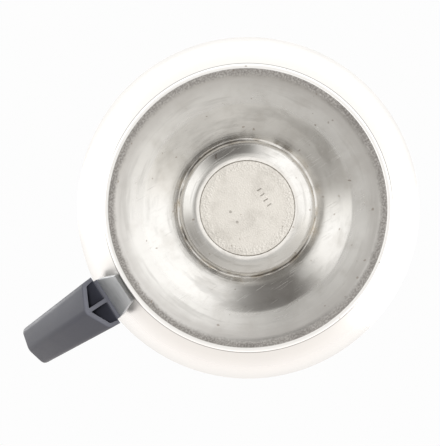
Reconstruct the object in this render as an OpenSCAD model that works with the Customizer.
// Water-jacket melting pot, one litre. Millimetres, +Z up.
// Origin: centre of the flat disc under the pot, at hob level. The handle points along +X.

/* [Base] */
// Outer radius of the upright band round the base
foot_r = 62; // [56:1:66]
// Radius of the flat disc in the middle of the base
disc_r = 20.6; // [16:0.2:23]
// Radius of the boss where it meets the dished base
boss_r = 29.2; // [26:0.2:31]
// Height of the dish above the hob, at the foot of the boss
dish_h = 11; // [9:0.2:12]
// Radius of the crease between the two slopes of the dish
crease_r = 44.3; // [40:0.5:48]
// Height of the crease above the hob
crease_h = 4; // [3:0.2:5]

/* [Body] */
// Widest outer radius of the shell
belly_r = 84; // [82:0.5:86]
// Angle of the shell's wall above the horizontal, at its foot
flare_angle = 57; // [55:1:60]
// Height of the brim above the hob
brim_h = 104; // [102:1:108]
// Thickness of the steel sheet
sheet = 1; // [0.8:0.1:1.2]
// Radius of the rolled bead at the brim
bead_r = 2.8; // [2.4:0.1:3.2]

/* [Inner pot] */
// Height of the inner pot's floor above the hob
pot_floor_h = 22; // [19:1:24]
// Radius at the top of the inner pot's straight wall
pot_mouth_r = 70; // [66:1:71]
// Radius of the inner pot's wall, where it leaves the rounded corner
pot_low_r = 60; // [56:1:62]
// Radius of the rounded corner round the floor
pot_corner = 17; // [14:1:20]

/* [Handle] */
// Angle of the handle above the horizontal
handle_angle = 50; // [48:1:51]
// Length of the moulded grip
grip_len = 78; // [70:1:84]
// Distance from the strap's welded end to the mouth of the grip
grip_start = 13.8; // [12.6:0.2:15]
// Width of the grip across its flat top, at the mouth
grip_w = 25; // [24:0.5:27]
// Width of the grip at its far end, as a share of the width at the mouth
grip_taper = 0.87; // [0.84:0.01:0.94]
// Width of the strap at its welded end
strap_tip_w = 14; // [12:0.5:16]
// Width of the strap inside the grip
strap_w = 19.4; // [17:0.2:19.6]
// Thickness of the strap
strap_t = 2; // [1.6:0.2:2]

/* [Filler and whistle] */
// Outer diameter of the filler neck
neck_d = 14; // [13:0.5:15]
// Angle of the neck above the horizontal
neck_angle = 45; // [42:1:48]
// Height on the wall where the neck's axis comes out
neck_h = 80; // [78:1:82]
// Radial gap between the neck and the cap's steel cup
cap_gap = 0.08; // [0.05:0.01:0.1]

/* [Hidden] */

round_fn = 180;
steel = [0.80, 0.79, 0.77];
dull_steel = [0.66, 0.66, 0.66];
phenolic = [0.27, 0.28, 0.30];
silicone = [0.72, 0.72, 0.70];

// Base pan: the flat ring that stands on the hob, and the rounding outside it
ring_in = 57.4;
ring_out = 59.6;
foot_round = foot_r - ring_out;
band_top = 9.5;
boss_h = dish_h - 1.4;
root_r = boss_r + 1.6;
shoulder_a = 48;
shoulder_r = 1.256 * (boss_r - disc_r);
roll_r = (boss_r - disc_r - shoulder_r * sin(shoulder_a)) / (1 - sin(shoulder_a));
roll_h = shoulder_r - (shoulder_r - roll_r) * cos(shoulder_a);
groove_r = disc_r - 0.5;
groove_deep = 0.3;
mark_deep = 0.25;
mark_w = 0.5;
mark_len = 2.2;
mark_step = 2.6;
mark_x = -8.5;
dot_x = 6.9;

// Shell: one arc from the band to the brim
shell_foot_r = foot_r + sheet;
shell_foot_h = 7.5;
lap_h = 6.4;
flare_r = (belly_r - shell_foot_r) / (1 - sin(flare_angle));
belly_h = shell_foot_h + flare_r * cos(flare_angle);
shell_axis_r = belly_r - flare_r;
shell_top_h = brim_h - sheet - 0.2;
shell_low_a = flare_angle - 90;
shell_top_a = asin((shell_top_h - belly_h) / flare_r);

// Brim: the inner pot's flange rolled over the edge of the shell
function shell_r(h) = shell_axis_r + sqrt(pow(flare_r, 2) - pow(h - belly_h, 2));
bead_h = brim_h - bead_r;
bead_x = shell_r(bead_h - bead_r) + 0.1;

// Inner pot: rounded corner, then a wall that leans out to the flange
corner_r = pot_low_r - pot_corner;
corner_h = pot_floor_h + pot_corner;
wall_lean = 15;
wall_reach = 30;
wall_top_h = brim_h - 12;

// Handle frame: s runs along the strap from its welded end, n points up from its top face
strap_x = shell_foot_r + 0.1;
strap_z = shell_foot_h + 0.1;
tang_len = 32;
pad_len = 9;
strap_round = 1.2;
slot_gap = 0.1;
septum = 1.6;
grip_top = 2.3;
grip_nose = 1.4;
nose_len = 3;
grip_wall = 2;
web = 1.8;
corner_n = -9.3;
ridge_n = -16;
far_corner_n = -8.4;
far_ridge_n = -11.8;
edge = 1.4;
end_round = 2;
screw_s = grip_start + 22;
bare_len = 10.5;
ear_h = 1.9;
slot_low = -strap_t - slot_gap;
floor_n = slot_low - septum;
cut_start = grip_start + bare_len * ear_h / (ear_h + grip_top - slot_low);
screw_d = 4;
screw_gap = 0.2;
head_d = 7.6;
head_t = 2.4;
washer_t = 0.9;

// Filler neck and the lift-off whistle on it
neck_wall = 1;
neck_out = 15;
neck_in = 9;
neck_x = shell_r(neck_h);
seal_t = 1.4;
seal_gap = 0.2;
cup_t = 0.5;
cup_low = 7.8;
cup_top = neck_out + seal_gap + seal_t;
cup_r = neck_d / 2 + cap_gap;
hole_d = 2.4;
disc_gap = 2.4;
disc_out = 6.5;
cap_low = 9.5;
cap_len = 23;
cap_skirt_r = 9.4;
cap_waist_r = 8.4;
cap_knob_r = 10.6;
steam_d = 4;

function arc(cx, cy, r, a, b, n) =
  [for (i = [0:n]) let (t = a + (b - a) * i / n) [cx + r * cos(t), cy + r * sin(t)]];
function bend(p, q, s, n) =
  [for (i = [0:n]) let (t = i / n) (1 - t) * (1 - t) * p + 2 * t * (1 - t) * q + t * t * s];
function back(v) = [for (i = [len(v) - 1:-1:0]) v[i]];

module turned(points) {
  rotate_extrude($fn = round_fn)
    polygon(points);
}

module along_handle() {
  translate([strap_x, 0, strap_z])
    rotate([0, -handle_angle, 0])
      children();
}

module along_neck(out = 0) {
  translate([neck_x, 0, neck_h])
    rotate([0, 90 - neck_angle, 0])
      translate([0, 0, out])
        children();
}

module ring(outer_d, inner_d, h) {
  difference() {
    cylinder(d = outer_d, h = h, $fn = 72);
    translate([0, 0, -1])
      cylinder(d = inner_d, h = h + 2, $fn = 72);
  }
}

// One face of the base pan, d above its underside: shoulder and side of the boss, fillet, two slopes, ring
function pan_face(d) = concat(
  arc(disc_r, shoulder_r, shoulder_r - d, -90, shoulder_a - 90, 8),
  arc(boss_r - roll_r, roll_h, roll_r - d, shoulder_a - 90, 0, 5),
  bend([boss_r - d, boss_h], [boss_r - d, dish_h + 0.5 + d], [root_r, dish_h + d], 4),
  bend([root_r, dish_h + d], [root_r + 6, dish_h - 1.2 + d], [crease_r, crease_h + d], 8),
  bend([ring_in - 1.2, 0.5 + d], [ring_in - 0.5, 0.1 + d], [ring_in, d], 3)
);

module base_pan() {
  color(steel)
    difference() {
      turned(concat(
        [[0, 0], [groove_r, 0], [groove_r + 0.2, groove_deep]],
        pan_face(0),
        arc(ring_out, foot_round, foot_round, -90, 0, 8),
        [[foot_r, band_top], [foot_r - sheet, band_top]],
        arc(ring_out, foot_round, foot_round - sheet, 0, -90, 6),
        back(pan_face(sheet)),
        [[0, sheet]]
      ));
      pan_marks();
    }
}

// Punched marks in the disc: a row of strokes on one side of the middle, two dots on the other
module pan_marks() {
  for (i = [-1.5:1:1.5])
    translate([mark_x - mark_len / 2, i * mark_step - mark_w / 2, -1])
      cube([mark_len, mark_w, 1 + mark_deep]);
  for (side = [-1, 1])
    translate([dot_x, side * mark_step, -1])
      cylinder(d = 1.2, h = 1 + mark_deep, $fn = 24);
}

shell_outside = concat(
  [[shell_foot_r - 0.8, lap_h]],
  arc(shell_axis_r, belly_h, flare_r, shell_low_a, shell_top_a, 28)
);

module outer_shell() {
  color(steel)
    difference() {
      turned(concat(
        shell_outside,
        arc(shell_axis_r, belly_h, flare_r - sheet, shell_top_a, shell_low_a, 28),
        [[foot_r, lap_h]]
      ));
      along_neck(-neck_in)
        cylinder(d = neck_d, h = 2 * neck_in, $fn = 72);
    }
}

// Wall of the inner pot from its floor to the flange, d outside its inner face
function pot_face(d) = concat(
  [[0, pot_floor_h - d]],
  arc(corner_r, corner_h, pot_corner + d, -90, -wall_lean, 8),
  bend(
    [corner_r + (pot_corner + d) * cos(wall_lean), corner_h - (pot_corner + d) * sin(wall_lean)],
    [
      corner_r + (pot_corner + d) * cos(wall_lean) + wall_reach * sin(wall_lean),
      corner_h - (pot_corner + d) * sin(wall_lean) + wall_reach * cos(wall_lean)
    ],
    [pot_mouth_r + d, wall_top_h], 10),
  bend([pot_mouth_r + d, wall_top_h], [pot_mouth_r + 1 + d, brim_h - d], [bead_x, brim_h - d], 10)
);

module inner_pot() {
  color(steel)
    turned(concat(
      pot_face(0),
      arc(bead_x, bead_h, bead_r, 90, -90, 12),
      arc(bead_x, bead_h, bead_r - sheet, -90, 90, 12),
      back(pot_face(sheet))
    ));
}

module strap_outline() {
  half_tip = strap_tip_w / 2;
  half = strap_w / 2;
  end_s = grip_start + tang_len;
  polygon([
    [0, half_tip - strap_round], [strap_round, half_tip],
    [grip_start - 0.6, half], [end_s - 3, half], [end_s, half - 3],
    [end_s, 3 - half], [end_s - 3, -half], [grip_start - 0.6, -half],
    [strap_round, -half_tip], [0, strap_round - half_tip]
  ]);
}

module handle_strap() {
  color(dull_steel)
    difference() {
      along_handle()
        difference() {
          union() {
            translate([0, 0, -strap_t])
              linear_extrude(strap_t)
                strap_outline();
            strap_weld();
          }
          translate([screw_s, 0, -strap_t - 1])
            cylinder(d = screw_d, h = strap_t + 2, $fn = 48);
        }
      turned(concat([[0, lap_h]], shell_outside, [[0, shell_top_h]]));
    }
}

// Weld that fills the wedge between the strap and the shell
module strap_weld() {
  translate([0.4, 0, 0])
    upright(strap_tip_w - 3)
      polygon([[0, -0.5], [pad_len, -0.5], [pad_len, 0.9], [pad_len - 1, 2], [0, 1]]);
}

// Outline of the grip: half widths at the flat top and at the lower corners, top and corner heights
function grip_outline(w, low_w, top, corner, ridge) = [
  [-w, top - edge], [-w + edge, top], [w - edge, top], [w, top - edge],
  [low_w, corner + edge / 2], [low_w - edge, corner - edge / 2],
  [edge, ridge + edge / 3], [-edge, ridge + edge / 3],
  [edge - low_w, corner - edge / 2], [-low_w, corner + edge / 2]
];

module grip_slice(s, points) {
  translate([s, 0, 0])
    rotate([90, 0, 90])
      linear_extrude(0.01)
        polygon(points);
}

module grip_body() {
  w = grip_w / 2;
  far = w * grip_taper;
  end_s = grip_start + grip_len;
  hull() {
    grip_slice(grip_start, grip_outline(w, w - 0.9, grip_nose, corner_n, ridge_n));
    grip_slice(grip_start + nose_len, grip_outline(w - 0.1, w - 1, grip_top, corner_n, ridge_n));
    grip_slice(end_s - end_round, grip_outline(far, far - 0.7, grip_top, far_corner_n, far_ridge_n));
    grip_slice(end_s - 0.01, grip_outline(far - end_round, far - end_round - 0.7, grip_top - 1,
                                          far_corner_n + 1, far_ridge_n + end_round));
  }
}

// One side of the hollow under the slot, left of the web or right of it
module grip_hollow(side) {
  w = grip_w / 2 - grip_wall;
  far = grip_w / 2 * grip_taper - grip_wall;
  inner = side * web / 2;
  hull() {
    grip_slice(grip_start - 0.1, [
      [inner, floor_n], [side * w, floor_n], [side * (w - 0.9), corner_n + 0.9], [inner, ridge_n + 2.6]
    ]);
    grip_slice(grip_start + grip_len - 6, [
      [inner, floor_n], [side * far, floor_n], [side * (far - 0.7), far_corner_n + 0.9],
      [inner, far_ridge_n + 2.3]
    ]);
  }
}

// Sloping cut above the slot, which leaves the strap's first stretch bare
module grip_nose_cut() {
  upright(2 * grip_w)
    polygon([[grip_start - 1, slot_low], [cut_start, slot_low], [grip_start + bare_len, grip_top],
             [grip_start + bare_len, grip_top + 2], [grip_start - 1, grip_top + 2]]);
}

// Lower end of the same slope, beside the strap: it trims the corner of a side wall
module grip_ear_cut() {
  upright(strap_w - 0.4)
    polygon([[grip_start - 1, slot_low - ear_h], [grip_start, slot_low - ear_h], [cut_start, slot_low],
             [cut_start, slot_low + 0.5], [grip_start - 1, slot_low + 0.5]]);
}

// Extrudes an outline in s and n evenly to both sides
module upright(wide) {
  translate([0, wide / 2, 0])
    rotate([90, 0, 0])
      linear_extrude(wide)
        children();
}

module handle_grip() {
  color(phenolic)
    along_handle()
      difference() {
        grip_body();
        for (side = [-1, 1])
          grip_hollow(side);
        grip_nose_cut();
        for (side = [-1, 1])
          translate([0, side * strap_w, 0])
            grip_ear_cut();
        translate([grip_start - 1, -strap_w / 2 - slot_gap, slot_low])
          cube([tang_len + 1 + 2 * slot_gap, strap_w + 2 * slot_gap, strap_t + 2 * slot_gap]);
        translate([screw_s, 0, floor_n - 1])
          cylinder(d = screw_d + 2 * screw_gap, h = grip_top - floor_n + 2, $fn = 48);
      }
}

module screw_washer() {
  color(steel)
    along_handle()
      translate([screw_s, 0, grip_top])
        ring(head_d + 1, screw_d + 0.4, washer_t);
}

module grip_screw() {
  seat = grip_top + washer_t;
  color(steel)
    along_handle()
      translate([screw_s, 0, seat])
        difference() {
          union() {
            rotate_extrude($fn = 72)
              polygon(concat([[0, 0], [head_d / 2, 0], [head_d / 2, head_t * 0.45]],
                             bend([head_d / 2, head_t * 0.45], [head_d / 2.2, head_t], [0, head_t], 6)));
            translate([0, 0, floor_n - seat + 0.3])
              cylinder(d = screw_d, h = seat - floor_n, $fn = 48);
          }
          for (turn = [0, 90])
            rotate([0, 0, turn])
              translate([-2.2, -0.45, head_t - 1.3])
                cube([4.4, 0.9, 2]);
        }
}

module filler_neck() {
  color(steel)
    along_neck(-neck_in)
      ring(neck_d, neck_d - 2 * neck_wall, neck_in + neck_out);
}

module neck_seal() {
  color(silicone)
    along_neck(neck_out + seal_gap)
      ring(neck_d - 0.2, neck_d - 4, seal_t);
}

module whistle_cup() {
  color(steel)
    along_neck(cup_low)
      rotate_extrude($fn = 72)
        polygon([
          [cup_r, 0], [cup_r + cup_t, 0], [cup_r + cup_t, cup_top - cup_low + cup_t],
          [hole_d / 2, cup_top - cup_low + cup_t], [hole_d / 2, cup_top - cup_low], [cup_r, cup_top - cup_low]
        ]);
}

module whistle_disc() {
  color(steel)
    along_neck(cup_top + cup_t)
      rotate_extrude($fn = 72)
        polygon([
          [disc_out - cup_t, 0], [disc_out, 0], [disc_out, disc_gap + cup_t],
          [hole_d / 2, disc_gap + cup_t], [hole_d / 2, disc_gap], [disc_out - cup_t, disc_gap]
        ]);
}

module whistle_cap() {
  seat = cup_top + cup_t - cap_low;
  chamber = seat + disc_gap + cup_t + 0.3;
  color(phenolic)
    along_neck(cap_low)
      rotate_extrude($fn = 96)
        polygon(concat(
          [[cup_r + cup_t, 0], [cap_skirt_r - 0.6, 0], [cap_skirt_r, 0.6], [cap_skirt_r, 8]],
          bend([cap_skirt_r, 8], [cap_waist_r - 0.6, 11], [cap_waist_r, 14], 8),
          bend([cap_waist_r, 14], [cap_knob_r, 16], [cap_knob_r, 20], 8),
          bend([cap_knob_r, 20], [cap_knob_r, cap_len], [cap_knob_r - 5, cap_len], 8),
          [
            [steam_d / 2 + 0.6, cap_len - 0.6], [steam_d / 2, cap_len - 1.2], [steam_d / 2, chamber],
            [disc_out, chamber], [disc_out, seat], [cup_r + cup_t, seat]
          ]
        ));
}

outer_shell();
base_pan();
inner_pot();
handle_strap();
handle_grip();
grip_screw();
screw_washer();
filler_neck();
neck_seal();
whistle_cup();
whistle_disc();
whistle_cap();
